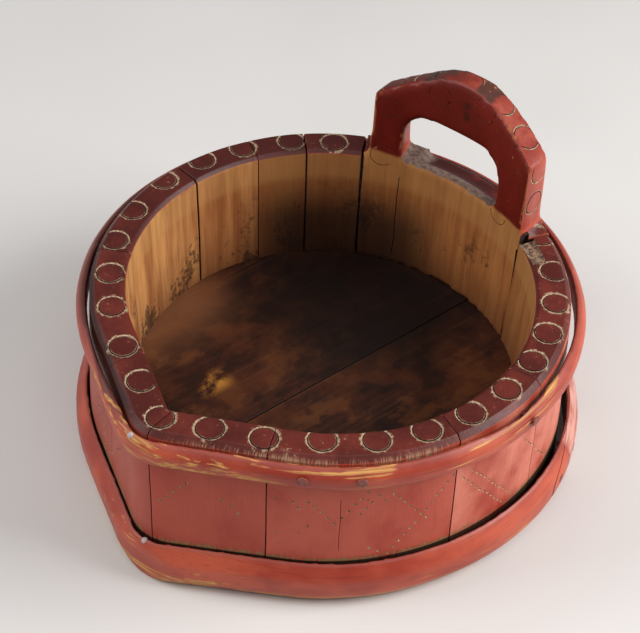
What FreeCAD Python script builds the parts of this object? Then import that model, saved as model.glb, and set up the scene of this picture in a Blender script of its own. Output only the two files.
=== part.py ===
import FreeCAD, Part
import math
import os
import Sketcher

# A coopered milk bowl: staves, a two-board floor held in a groove, two bent hoops and their nails.
# +Z is up and the bowl's axis is Z. The handle stands at +Y and the pouring corner points to -Y.

doc = FreeCAD.newDocument("milk_bowl")
sheet = doc.addObject("Spreadsheet::Sheet", "sizes")

# Millimetres, and degrees for every name that ends in angle.
dimensions = {
    # The wall: its rim, its foot, and the corner that it pours from.
    "rim_inside_radius": 125,
    "rim_thickness": 22,
    "wall_height": 118,
    "foot_inside_draw": 3.9,
    "foot_outside_flare": 5.4,
    "corner_angle": 30,
    "corner_inside_radius": 5,
    "outer_arris_width": 3.5,
    "inner_arris_width": 2.5,
    # The staves, each as its share of the round, counted from the handle's left side.
    "handle_stave_angle": 61.2,
    "stave_01_angle": 16.8,
    "stave_02_angle": 15.1,
    "stave_03_angle": 21.5,
    "stave_04_angle": 37.2,
    "stave_05_angle": 39.9,
    "stave_06_angle": 20.4,
    "stave_07_angle": 24.5,
    "stave_08_angle": 43.8,
    "stave_09_angle": 26.4,
    "tight_joint_gap": 0.4,
    "open_joint_gap": 1.2,
    # The handle above the rim.
    "handle_rise": 76.5,
    "handle_left_reach": 61.5,
    "handle_right_reach": 63,
    "left_shoulder_rise": 49,
    "right_shoulder_rise": 54,
    "knee_reach": 21,
    "knee_below_crown": 3.5,
    "grip_left_reach": 40.2,
    "grip_right_reach": 33.6,
    "grip_rise": 37.5,
    "grip_left_corner_radius": 17.5,
    "grip_right_corner_radius": 21,
    "rest_strip_width": 5.5,
    "rest_scoop_depth": 4,
    "rest_scoop_angle": 27,
    # The floor and the groove that holds it.
    "floor_depth": 86.5,
    "floor_thickness": 12,
    "floor_edge_thickness": 6,
    "floor_bevel_width": 6,
    "groove_depth": 5,
    "floor_edge_clearance": 0.3,
    "floor_top_clearance": 0.15,
    "seam_angle": 79,
    "seam_gap": 0.4,
    "peg_reach": 3.7,
    "peg_length": 44,
    "peg_spacing": 70,
    "peg_clearance": 0.25,
    # The hoops, loose on the shrunken wall, each closed by a long lapped joint.
    "hoop_contact_clearance": 0.3,
    "hoop_corner_radius": 25,
    "hoop_flat_width": 2.2,
    "upper_hoop_height": 18,
    "upper_hoop_thickness": 7.4,
    "upper_hoop_below_rim": 3.5,
    "upper_hoop_slack": 2.8,
    "upper_contact_angle": 290,
    "upper_shave_radius": 52,
    "upper_sag_angle": 1.15,
    "upper_sag_direction_angle": 128,
    "lower_hoop_height": 31.5,
    "lower_hoop_thickness": 8.8,
    "lower_hoop_slack": 3.1,
    "lower_contact_angle": 270,
    "lower_shave_radius": 72,
    "lap_offset": 24,
    "lap_gap": 0.4,
    "upper_lap_angle": 150,
    "lower_lap_angle": 21,
    # The nails that hold the hoops to the staves: square shanks under eight-sided heads.
    "nail_reach": 1.6,
    "nail_head_reach": 3.3,
    "nail_head_thickness": 1.2,
    "nail_hold_depth": 12,
    "upper_nail_rise": 2.5,
    "nail_clearance": 0.25,
    "upper_nail_left_angle": 304.2,
    "upper_nail_middle_angle": 316.5,
    "upper_nail_right_angle": 359,
    "lap_nail_half_angle": 5,
}

for row, (name, value) in enumerate(dimensions.items(), start=1):
    sheet.set("A%d" % row, name)
    sheet.set("B%d" % row, str(value))
    sheet.setAlias("B%d" % row, name)
doc.recompute()


def formula(text):
    """Lets a rule name the sheet's sizes bare: every known name gets the sheet's own name before it."""
    words = []
    word = ""
    for letter in text + " ":
        if letter.isalnum() or letter == "_":
            word = word + letter
            continue
        words.append("sizes." + word if word in dimensions else word)
        words.append(letter)
        word = ""
    return "".join(words).strip()


def value_of(text):
    return float(sheet.evalExpression(formula(text)))


def sketch_in(body, label, plane, path, offset=None):
    """Draws a closed path in a body's own plane and ties each corner and radius to the sheet.

    A step of the path is (across, up) or (across, up, radius): the radius is that of the arc to the
    next corner, positive for an arc that turns left on its way and negative for one that turns right.
    """
    sketch = body.newObject("Sketcher::SketchObject", label)
    support = [part for part in body.Origin.OriginFeatures if part.Role == plane][0]
    sketch.AttachmentSupport = [(support, "")]
    sketch.MapMode = "FlatFace"
    if offset:
        sketch.setExpression(".AttachmentOffset.Base.z", formula(offset))
    corners = [FreeCAD.Vector(value_of(step[0]), value_of(step[1]), 0) for step in path]
    starts = []
    for index, step in enumerate(path):
        here = corners[index]
        there = corners[(index + 1) % len(path)]
        if len(step) == 2:
            sketch.addGeometry(Part.LineSegment(here, there), False)
            starts.append((1, 2))
            continue
        radius = value_of(step[2])
        chord = there - here
        left = FreeCAD.Vector(-chord.y, chord.x, 0).normalize()
        reach = math.sqrt(radius * radius - chord.Length * chord.Length / 4)
        centre = (here + there) / 2 + left * math.copysign(reach, radius)
        first, last = (here, there) if radius > 0 else (there, here)
        begin = math.atan2(first.y - centre.y, first.x - centre.x)
        end = math.atan2(last.y - centre.y, last.x - centre.x)
        circle = Part.Circle(centre, FreeCAD.Vector(0, 0, 1), abs(radius))
        sketch.addGeometry(Part.ArcOfCircle(circle, begin, end), False)
        starts.append((1, 2) if radius > 0 else (2, 1))
    for index, step in enumerate(path):
        following = (index + 1) % len(path)
        joint = Sketcher.Constraint(
            "Coincident", index, starts[index][1], following, starts[following][0]
        )
        sketch.addConstraint(joint)
        for kind, text in (("DistanceX", step[0]), ("DistanceY", step[1])):
            tie = Sketcher.Constraint(kind, -1, 1, index, starts[index][0], value_of(text))
            number = sketch.addConstraint(tie)
            sketch.setExpression("Constraints[%d]" % number, formula(text))
        if len(step) == 3:
            tie = Sketcher.Constraint("Radius", index, abs(value_of(step[2])))
            number = sketch.addConstraint(tie)
            sketch.setExpression("Constraints[%d]" % number, formula("abs(%s)" % step[2]))
    return sketch


def bowl_outline(radius, corner):
    """The bowl's plan: a round that runs out by two straight flanks to one small rounded corner."""
    centre = "(%s - (%s)) / cos(corner_angle)" % (radius, corner)
    left_across = "-(%s) * sin(corner_angle)" % corner
    down = "-%s - (%s) * cos(corner_angle)" % (centre, corner)
    return [
        (radius, "0", radius),
        ("(%s) * cos(120)" % radius, "(%s) * sin(120)" % radius, radius),
        ("-(%s) * sin(corner_angle)" % radius, "-(%s) * cos(corner_angle)" % radius),
        (left_across, down, corner),
        ("(%s) * sin(corner_angle)" % corner, down),
        ("(%s) * sin(corner_angle)" % radius, "-(%s) * cos(corner_angle)" % radius, radius),
    ]


def wall_section(top):
    """Half of the wall cut through: sloped faces, and the groove for the floor."""
    inside = "rim_inside_radius - foot_inside_draw * (wall_height - (%s)) / wall_height"
    outside = "rim_inside_radius + rim_thickness"
    outside = outside + " + foot_outside_flare * (wall_height - (%s)) / wall_height"
    groove_top = "wall_height - floor_depth + floor_top_clearance"
    groove_foot = "wall_height - floor_depth - floor_edge_thickness"
    groove_back = inside % "wall_height - floor_depth" + " + groove_depth"
    lower = [
        (inside % groove_top, groove_top),
        (groove_back, groove_top),
        (groove_back, groove_foot),
        (inside % groove_foot, groove_foot),
        (inside % "0", "0"),
        (outside % "0", "0"),
    ]
    return lower, inside % top, outside % top


def body_with_label(label):
    body = doc.addObject("PartDesign::Body", label)
    body.Label = label
    return body


def sweep_along(body, label, section, line):
    sweep = body.newObject("PartDesign::AdditivePipe", label)
    sweep.Profile = section
    sweep.Spine = line
    return sweep


def level_rod(label, sides, reach, length, across, along, up, heading):
    """A flat-sided rod that starts at a point and runs level in a heading, in degrees from +X."""
    rod = doc.addObject("Part::Prism", label)
    rod.Polygon = sides
    rod.setExpression("Circumradius", formula(reach))
    rod.setExpression("Height", formula(length))
    place = "placement(vector(%s; %s; %s); rotation(%s; 90; 0))" % (across, along, up, heading)
    rod.setExpression("Placement", formula(place))
    return rod


def fused(label, pieces):
    group = doc.addObject("Part::MultiFuse", label)
    group.Shapes = pieces
    return group


def cut_from(label, base, tool):
    result = doc.addObject("Part::Cut", label)
    result.Base = base
    result.Tool = tool
    return result


# The two hoops: split wood with a flat back and a face shaved round, bent about the bowl and closed
# by a long lapped joint. Each is shaved thinner where it turns the bowl's corner. Each hangs loose on
# the wall, pushed off its centre until it touches, and the upper one has sagged at the back.
def hoop_line(foot, slack):
    """The hoop's back at its lower edge, which follows the wall's flare at that height."""
    wall_there = "rim_inside_radius + rim_thickness + foot_outside_flare * (wall_height - (%s))"
    return "(" + wall_there % foot + " / wall_height + %s)" % slack


def shaved_section(back, foot, height, thickness):
    """The hoop cut through: a flat back, and the three faces that the drawknife left outside."""
    lean = "foot_outside_flare * %s / wall_height" % height
    swell = "(%s - hoop_flat_width)" % thickness
    bulge = "((%s^2 / 4 + %s^2) / (2 * %s))" % (height, swell, swell)
    half_turn = "(asin(%s / 2 / %s) / 1 deg)" % (height, bulge)
    section = [(back, foot)]
    for step in range(4):
        toward = "%s * %d / 3" % (half_turn, 2 * step - 3)
        rise = "%s / 2 + %s * sin(%s)" % (height, bulge, toward)
        out = "%s + %s - %s + %s * cos(%s)" % (back, thickness, bulge, bulge, toward)
        section.append((out + " - %s * (%s) / %s" % (lean, rise, height), "%s + %s" % (foot, rise)))
    section.append((back + " - " + lean, "%s + %s" % (foot, height)))
    return section


def lap_slot(back, thickness, lap_angle):
    """The lap is a thin slot on an off-centre round, so it crosses the hoop at a long slant."""
    middle = "(%s + %s / 2)" % (back, thickness)
    reach = "sqrt(%s^2 + lap_offset^2)" % middle
    heading = "(%s + atan(lap_offset / %s) / 1 deg)" % (lap_angle, middle)
    half_span = "(0.7 * %s / lap_offset * 180 / pi)" % thickness
    corners = []
    for side, turn in (("+", "-"), ("+", "+"), ("-", "+"), ("-", "-")):
        radius = "(%s %s lap_gap / 2)" % (reach, side)
        toward = "(%s %s %s)" % (heading, turn, half_span)
        across = "lap_offset * sin(%s) + %s * cos(%s)" % (lap_angle, radius, toward)
        along = "-lap_offset * cos(%s) + %s * sin(%s)" % (lap_angle, radius, toward)
        corners.append((across, along, radius))
    outer_start, outer_end, inner_start, inner_end = corners
    return [
        outer_start,
        outer_end[:2],
        (inner_start[0], inner_start[1], "-" + inner_start[2]),
        inner_end[:2],
    ]


def corner_shaving(back, thickness, shave_radius):
    """What the drawknife took off outside the corner: all beyond a rounder turn than the back's."""
    middle = "((%s + %s - %s) / cos(corner_angle))" % (back, thickness, shave_radius)
    far = "(%s + 2 * rim_thickness)" % shave_radius
    return [
        (
            "-%s * sin(corner_angle)" % shave_radius,
            "-%s - %s * cos(corner_angle)" % (middle, shave_radius),
            shave_radius,
        ),
        (
            "%s * sin(corner_angle)" % shave_radius,
            "-%s - %s * cos(corner_angle)" % (middle, shave_radius),
        ),
        ("%s * sin(corner_angle)" % far, "-%s - %s * cos(corner_angle)" % (middle, far)),
        ("-%s * sin(corner_angle)" % far, "-%s - %s * cos(corner_angle)" % (middle, far)),
    ]


def cut_through(body, label, path):
    """Cuts a plan right through a body, above and below."""
    cut = body.newObject("PartDesign::Pocket", label)
    cut.Profile = sketch_in(body, label + "_line", "XY_Plane", path)
    cut.Type = "ThroughAll"
    cut.SideType = "Symmetric"


def bent_hoop(label, foot, height, thickness, slack, shave_radius, lap_angle):
    body = body_with_label(label)
    back = hoop_line(foot, slack)
    line = sketch_in(body, label + "_line", "XY_Plane", bowl_outline(back, "hoop_corner_radius"))
    section = shaved_section(back, foot, height, thickness)
    profile = sketch_in(body, label + "_section", "XZ_Plane", section)
    sweep_along(body, label + "_bend", profile, line)
    cut_through(body, label + "_shaving", corner_shaving(back, thickness, shave_radius))
    cut_through(body, label + "_lap", lap_slot(back, thickness, lap_angle))
    return body


# The nails: a head on the hoop's face, a shank through the hoop and into the stave behind.
def nails_and_holes(label, foot, height, thickness, slack, contact_angle, spots):
    nails = []
    holes = []
    middle = "%s + %s / 2" % (foot, height)
    face = "(%s + %s - foot_outside_flare * %s / wall_height / 2" % (
        hoop_line(foot, slack), thickness, height
    )
    behind = "(%s - %s - nail_hold_depth)" % (hoop_line(middle, slack), slack)
    shift = "(%s - hoop_contact_clearance)" % slack
    for number, (angle, rise) in enumerate(spots, start=1):
        name = "%s_%d" % (label, number)
        seat = face + " - %s * cos(%s - %s) + nail_clearance)" % (shift, angle, contact_angle)
        shank = level_rod(
            name + "_shank", 4, "nail_reach", "%s - %s" % (seat, behind),
            "%s * cos(%s)" % (behind, angle), "%s * sin(%s)" % (behind, angle), middle + rise, angle,
        )
        head = level_rod(
            name + "_head", 8, "nail_head_reach", "nail_head_thickness",
            "%s * cos(%s)" % (seat, angle), "%s * sin(%s)" % (seat, angle), middle + rise, angle,
        )
        nails.append(fused(name, [shank, head]))
        bottom = "(%s - nail_clearance)" % behind
        hole = level_rod(
            name + "_hole", 4, "nail_reach + 1.5 * nail_clearance", "%s - %s" % (seat, bottom),
            "%s * cos(%s)" % (bottom, angle), "%s * sin(%s)" % (bottom, angle), middle + rise, angle,
        )
        holes.append(hole)
    return fused(label, nails), fused(label + "_holes", holes)


def pushed_against(slack, contact_angle):
    """How far a loose hoop moves until it all but touches the wall at one angle."""
    shift = "(%s - hoop_contact_clearance)" % slack
    return "vector(-%s * cos(%s); -%s * sin(%s); 0)" % (shift, contact_angle, shift, contact_angle)


upper_foot = "wall_height - upper_hoop_below_rim - upper_hoop_height"
lower_foot = "0"
upper_bend = bent_hoop(
    "upper_hoop_bend", upper_foot, "upper_hoop_height", "upper_hoop_thickness",
    "upper_hoop_slack", "upper_shave_radius", "upper_lap_angle",
)
lower_bend = bent_hoop(
    "lower_hoop_bend", lower_foot, "lower_hoop_height", "lower_hoop_thickness",
    "lower_hoop_slack", "lower_shave_radius", "lower_lap_angle",
)
upper_nail_spots = [
    ("upper_nail_left_angle", " + upper_nail_rise"),
    ("upper_nail_middle_angle", " + upper_nail_rise"),
    ("upper_nail_right_angle", " + upper_nail_rise"),
    ("(upper_lap_angle - lap_nail_half_angle)", ""),
    ("(upper_lap_angle + lap_nail_half_angle)", ""),
]
lower_nail_spots = [
    ("(lower_lap_angle - lap_nail_half_angle)", ""),
    ("(lower_lap_angle + lap_nail_half_angle)", ""),
]
upper_nails, upper_holes = nails_and_holes(
    "upper_hoop_nails", upper_foot, "upper_hoop_height", "upper_hoop_thickness",
    "upper_hoop_slack", "upper_contact_angle", upper_nail_spots,
)
lower_nails, lower_holes = nails_and_holes(
    "lower_hoop_nails", lower_foot, "lower_hoop_height", "lower_hoop_thickness",
    "lower_hoop_slack", "lower_contact_angle", lower_nail_spots,
)
# The upper hoop and its nails sag together, tipped about its top edge at the front.
sag_axis = "vector(-sin(upper_sag_direction_angle); cos(upper_sag_direction_angle); 0)"
sag_reach = "(rim_inside_radius + rim_thickness)"
sag_point = "vector(-%s * cos(upper_sag_direction_angle); " % sag_reach
sag_point = sag_point + "-%s * sin(upper_sag_direction_angle); " % sag_reach
sag_point = sag_point + "wall_height - upper_hoop_below_rim)"
sag = "rotation(%s; upper_sag_angle); %s" % (sag_axis, sag_point)
upper_push = pushed_against("upper_hoop_slack", "upper_contact_angle")
lower_push = pushed_against("lower_hoop_slack", "lower_contact_angle")
upper_bend.setExpression("Placement", formula("placement(%s; %s)" % (upper_push, sag)))
lower_bend.setExpression("Placement", formula("placement(%s; rotation(0; 0; 0))" % lower_push))
for group in (upper_nails, upper_holes):
    group.setExpression("Placement", formula("placement(vector(0; 0; 0); %s)" % sag))
upper_hoop = cut_from("upper_hoop", upper_bend, upper_holes)
lower_hoop = cut_from("lower_hoop", lower_bend, lower_holes)

# The round wall, drawn once as its section swept along the rim's inside line.
wall = body_with_label("wall_blank")
rim_line = sketch_in(
    wall, "rim_line", "XY_Plane", bowl_outline("rim_inside_radius", "corner_inside_radius")
)
outer_bend = "wall_height - outer_arris_width"
inner_bend = "wall_height - inner_arris_width"
rim_section = wall_section(outer_bend)[0] + [
    (wall_section(outer_bend)[2], outer_bend),
    ("rim_inside_radius + rim_thickness - outer_arris_width", "wall_height"),
    ("rim_inside_radius + inner_arris_width", "wall_height"),
    (wall_section(inner_bend)[1], inner_bend),
]
rim_profile = sketch_in(wall, "rim_section", "XZ_Plane", rim_section)
sweep_along(wall, "wall_sweep", rim_profile, rim_line)
wall_nail_holes = fused("wall_nail_holes", [upper_holes, lower_holes])
pierced_wall = cut_from("pierced_wall", wall, wall_nail_holes)

# The ten rim staves: the wall parted at its joints. Some joints have opened as the wood shrank.
stave_gaps = [
    "open_joint_gap",
    "open_joint_gap",
    "tight_joint_gap",
    "open_joint_gap",
    "tight_joint_gap",
    "tight_joint_gap",
    "tight_joint_gap",
    "tight_joint_gap",
    "tight_joint_gap",
    "tight_joint_gap",
    "open_joint_gap",
]
turn_of_gap = "(%s / 2 / (rim_inside_radius + rim_thickness) * 180 / pi)"
first_joint = "90 + handle_stave_angle / 2"
passed = ""
staves = []
for number in range(1, 11):
    if number < 10:
        width = "stave_%02d_angle" % number
    else:
        width = "(360 - handle_stave_angle%s)" % passed.replace("+", "-")
    gap_before = turn_of_gap % stave_gaps[number - 1]
    gap_after = turn_of_gap % stave_gaps[number]
    sector = doc.addObject("Part::Cylinder", "stave_%02d_sector" % number)
    sector.setExpression("Radius", formula("2 * rim_inside_radius"))
    sector.setExpression("Height", formula("2 * wall_height"))
    sector.setExpression("Angle", formula("%s - %s - %s" % (width, gap_before, gap_after)))
    start = "%s%s + %s" % (first_joint, passed, gap_before)
    place = "placement(vector(0; 0; -wall_height / 2); rotation(%s; 0; 0))" % start
    sector.setExpression("Placement", formula(place))
    stave = doc.addObject("Part::Common", "stave_%02d" % number)
    stave.Base = pierced_wall
    stave.Tool = sector
    staves.append(stave)
    passed = passed + " + " + width

# The handle stave: one plank turned to the wall's section, standing far above the rim, its top
# sawn to a low gable, with a grip hole splayed towards the outside and a hollow worn in its sill.
handle = body_with_label("handle_stave")
blank_top = "wall_height + handle_rise + rim_thickness"
lower_corners, blank_inside, blank_outside = wall_section(blank_top)
plank_section = lower_corners + [(blank_outside, blank_top), (blank_inside, blank_top)]
plank_profile = sketch_in(handle, "plank_section", "YZ_Plane", plank_section)
plank = handle.newObject("PartDesign::Revolution", "plank")
plank.Profile = plank_profile
plank.ReferenceAxis = (plank_profile, ["V_Axis"])
plank.Midplane = True
plank.setExpression("Angle", formula("handle_stave_angle - 2 * " + turn_of_gap % "open_joint_gap"))
crown_lift = "knee_below_crown"
crown_bend = "-(knee_reach^2 + %s^2) / (2 * %s)" % (crown_lift, crown_lift)
knee_height = "wall_height + handle_rise - knee_below_crown"
waste = [
    ("-rim_inside_radius", "wall_height"),
    ("-handle_left_reach", "wall_height"),
    ("-handle_left_reach", "wall_height + left_shoulder_rise"),
    ("-knee_reach", knee_height, crown_bend),
    ("knee_reach", knee_height),
    ("handle_right_reach", "wall_height + right_shoulder_rise"),
    ("handle_right_reach", "wall_height"),
    ("rim_inside_radius", "wall_height"),
    ("rim_inside_radius", blank_top + " + rim_thickness"),
    ("-rim_inside_radius", blank_top + " + rim_thickness"),
]
waste_sketch = sketch_in(handle, "gable_line", "XZ_Plane", waste)
gable = handle.newObject("PartDesign::Pocket", "gable")
gable.Profile = waste_sketch
gable.Type = "ThroughAll"
gable.SideType = "Symmetric"


def grip_outline(distance):
    """The grip hole where it crosses a plane at a distance from the axis: its jambs are radial."""
    left = "(grip_left_reach * (%s) / sqrt(rim_inside_radius^2 - grip_left_reach^2))" % distance
    right = "(grip_right_reach * (%s) / sqrt(rim_inside_radius^2 - grip_right_reach^2))" % distance
    arch = "wall_height + grip_rise"
    return [
        ("-" + left, "wall_height"),
        (right, "wall_height"),
        (right, arch + " - grip_right_corner_radius", "grip_right_corner_radius"),
        (right + " - grip_right_corner_radius", arch),
        ("-%s + grip_left_corner_radius" % left, arch, "grip_left_corner_radius"),
        ("-" + left, arch + " - grip_left_corner_radius"),
    ]


near_side = "rim_inside_radius - rim_thickness"
far_side = "rim_inside_radius + 2 * rim_thickness"
near_grip = sketch_in(
    handle, "grip_inside", "XZ_Plane", grip_outline(near_side), "-(%s)" % near_side
)
far_grip = sketch_in(handle, "grip_outside", "XZ_Plane", grip_outline(far_side), "-(%s)" % far_side)
grip = handle.newObject("PartDesign::SubtractiveLoft", "grip")
grip.Profile = near_grip
grip.Sections = [far_grip]
grip.Ruled = True
scoop_start = "rim_inside_radius + rest_strip_width"
scoop_end = "rim_inside_radius + rim_thickness + outer_arris_width"
scoop_floor = "wall_height - rest_scoop_depth"
scoop_path = [
    (scoop_start, "wall_height"),
    (scoop_start + " + 2 * rest_scoop_depth", scoop_floor),
    (scoop_end, scoop_floor),
    (scoop_end, "wall_height + outer_arris_width"),
    (scoop_start, "wall_height + outer_arris_width"),
]
scoop_sketch = sketch_in(handle, "sill_scoop_line", "YZ_Plane", scoop_path)
scoop = handle.newObject("PartDesign::Groove", "sill_scoop")
scoop.Profile = scoop_sketch
scoop.ReferenceAxis = (scoop_sketch, ["V_Axis"])
scoop.Midplane = True
scoop.setExpression("Angle", formula("rest_scoop_angle"))

# The floor: one disc with a bevelled edge, parted along its seam and held level by three eight-sided pegs.
floor_top = "wall_height - floor_depth"
floor_reach = "(rim_inside_radius - foot_inside_draw * floor_depth / wall_height"
floor_reach = floor_reach + " + groove_depth - floor_edge_clearance)"
floor_corner = "(corner_inside_radius + %s - rim_inside_radius)" % floor_reach
step_height = "%s - floor_edge_thickness" % floor_top
step_reach = "(%s - floor_edge_clearance)" % wall_section(step_height)[1]
step_corner = "(corner_inside_radius + %s - rim_inside_radius)" % step_reach
disc = body_with_label("floor_blank")
underside = sketch_in(
    disc, "underside_line", "XY_Plane",
    bowl_outline("(%s - floor_bevel_width)" % step_reach, step_corner),
    "%s - floor_thickness" % floor_top,
)
step = sketch_in(
    disc, "step_line", "XY_Plane", bowl_outline(step_reach, step_corner), step_height
)
edge = sketch_in(
    disc, "edge_line", "XY_Plane", bowl_outline(floor_reach, floor_corner),
    step_height,
)
bevel = disc.newObject("PartDesign::AdditiveLoft", "bevel")
bevel.Profile = underside
bevel.Sections = [step]
bevel.Ruled = True
tread = disc.newObject("PartDesign::Pad", "tread")
tread.Profile = edge
tread.setExpression("Length", formula("floor_edge_thickness"))


def floor_half(label, turn):
    """Everything on one side of the seam: a block turned to stand along it, half the gap away."""
    block = doc.addObject("Part::Box", label)
    block.setExpression("Length", formula("4 * rim_inside_radius"))
    block.setExpression("Width", formula("2 * rim_inside_radius"))
    block.setExpression("Height", formula("wall_height"))
    heading = "(seam_angle + %s)" % turn
    back = "2 * rim_inside_radius"
    across = "-%s * cos(%s) - seam_gap / 2 * sin(%s)" % (back, heading, heading)
    along = "-%s * sin(%s) + seam_gap / 2 * cos(%s)" % (back, heading, heading)
    place = "placement(vector(%s; %s; 0); rotation(%s; 0; 0))" % (across, along, heading)
    block.setExpression("Placement", formula(place))
    return block


def peg_row(label, reach, length):
    pegs = []
    for number, step in enumerate(("-", "0 *", ""), start=1):
        shift = "%s peg_spacing" % step
        across = "(%s) * cos(seam_angle) + (%s) / 2 * sin(seam_angle)" % (shift, length)
        along = "(%s) * sin(seam_angle) - (%s) / 2 * cos(seam_angle)" % (shift, length)
        up = "%s - floor_thickness / 2" % floor_top
        peg = level_rod(
            "%s_%d" % (label, number), 8, reach, length, across, along, up, "seam_angle + 90"
        )
        pegs.append(peg)
    return fused(label, pegs)


floor_pegs = peg_row("floor_pegs", "peg_reach", "peg_length")
peg_holes = peg_row("peg_holes", "peg_reach + peg_clearance", "peg_length + 2 * peg_clearance")
floor_boards = []
for label, turn in (("floor_board_left", "0"), ("floor_board_right", "180")):
    board = doc.addObject("Part::Common", label + "_blank")
    board.Base = disc
    board.Tool = floor_half(label + "_side", turn)
    floor_boards.append(cut_from(label, board, peg_holes))

doc.recompute()
for item in doc.Objects:
    if "Invalid" in item.State or "Error" in item.State:
        raise RuntimeError("%s did not compute: %s" % (item.Label, item.getStatusString()))
    if not hasattr(item, "Shape") or item.TypeId.startswith("App::"):
        continue
    if item.Shape.isNull() or not item.Shape.isValid():
        raise RuntimeError("%s has no valid shape" % item.Label)

pieces = [handle] + staves + floor_boards
pieces = pieces + [floor_pegs, upper_hoop, lower_hoop, upper_nails, lower_nails]
os.makedirs("parts", exist_ok=True)
for piece in pieces:
    piece.Shape.exportStep("parts/%s.step" % piece.Label)
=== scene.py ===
import math

import bpy
from mathutils import Matrix, Vector, noise


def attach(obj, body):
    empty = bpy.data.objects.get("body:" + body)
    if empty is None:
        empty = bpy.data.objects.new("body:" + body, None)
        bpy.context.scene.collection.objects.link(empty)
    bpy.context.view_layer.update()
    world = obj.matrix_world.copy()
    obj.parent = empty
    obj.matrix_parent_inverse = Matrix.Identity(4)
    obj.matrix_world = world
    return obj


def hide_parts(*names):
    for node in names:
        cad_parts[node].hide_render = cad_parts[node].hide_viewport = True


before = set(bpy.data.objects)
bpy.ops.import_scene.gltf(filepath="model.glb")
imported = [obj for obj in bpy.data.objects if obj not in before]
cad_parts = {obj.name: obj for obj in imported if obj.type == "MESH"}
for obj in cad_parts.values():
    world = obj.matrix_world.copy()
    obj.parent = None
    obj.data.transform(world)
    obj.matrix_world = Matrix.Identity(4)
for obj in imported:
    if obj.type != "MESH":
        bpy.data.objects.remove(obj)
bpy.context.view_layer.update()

# The two floor boards are split pine planks, pushed into the groove of the wall
# and held edge to edge by hidden pegs. Years of milk have stained them brown-black.
# Their grain follows the seam, which lies 79 degrees round from the right hand side.
RIM_LEVEL = 0.118
INNER_RADIUS = 0.125
SEAM_HEADING = math.radians(79)


class Term:
    """A number carried by a shader socket, so that masks can be written as sums."""

    def __init__(self, finish, socket):
        self.finish, self.socket = finish, socket

    def joined(self, operation, *others, turned=False):
        parts = [getattr(o, "socket", o) for o in (self, *others)]
        if turned:
            parts.reverse()
        made = self.finish.add("ShaderNodeMath", {"operation": operation}, dict(enumerate(parts)))
        return Term(self.finish, made.outputs[0])

    def __add__(self, other):
        return self.joined("ADD", other)

    def __sub__(self, other):
        return self.joined("SUBTRACT", other)

    def __rsub__(self, other):
        return self.joined("SUBTRACT", other, turned=True)

    def __mul__(self, other):
        return self.joined("MULTIPLY", other)

    def __truediv__(self, other):
        return self.joined("DIVIDE", other)

    def __pow__(self, other):
        return self.joined("POWER", other)

    __radd__ = __add__
    __rmul__ = __mul__

    def size(self):
        return self.joined("ABSOLUTE")

    def least(self, other):
        return self.joined("MINIMUM", other)

    def most(self, other):
        return self.joined("MAXIMUM", other)

    def rising(self, low, high):
        """0 below low and 1 above high with a soft step between; low above high falls instead."""
        made = self.finish.add(
            "ShaderNodeMapRange",
            {"interpolation_type": "SMOOTHSTEP"},
            {"Value": self, "From Min": low, "From Max": high},
        )
        return Term(self.finish, made.outputs[0])

    def near(self, middle, reach, soft):
        """1 within reach of middle, fading over soft."""
        return (self - middle).size().rising(reach + soft, reach)


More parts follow.
